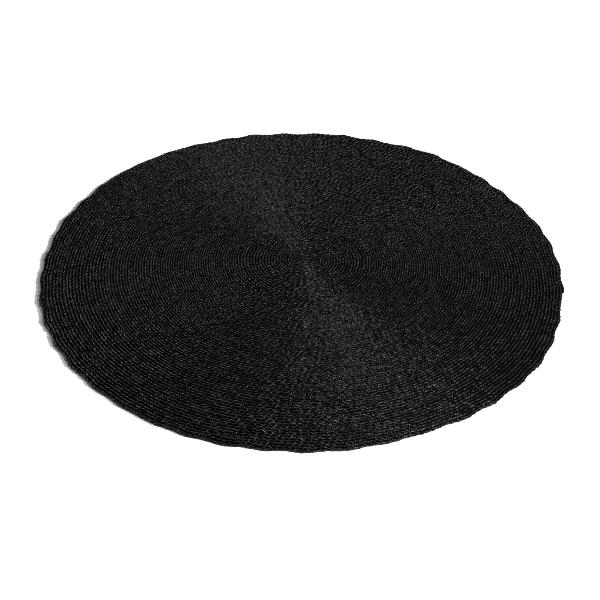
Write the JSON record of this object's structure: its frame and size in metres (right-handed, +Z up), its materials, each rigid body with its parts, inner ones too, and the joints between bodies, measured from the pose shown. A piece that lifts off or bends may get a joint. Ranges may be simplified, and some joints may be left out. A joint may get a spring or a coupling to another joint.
{
  "type": "round rug",
  "caption": "Round, flat floor rug of twisted black plant-fibre cord, wound into a spiral coil and sewn edge to edge, with a slightly uneven rim.",
  "frame": {"origin": "middle of the flat underside, on the floor", "axes": "+Z up, out of the ribbed top; +X towards the side where the cord's outer end is tucked in; -Y towards the viewer of the picture"},
  "size_m": [1.2008, 1.2026, 0.007],
  "materials": {
    "fibre_cord": "dyed black plant-fibre cord with a low sheen on its twisted strands"
  },
  "bodies": {
    "root": {"rug": "fibre_cord"}
  },
  "joints": []
}
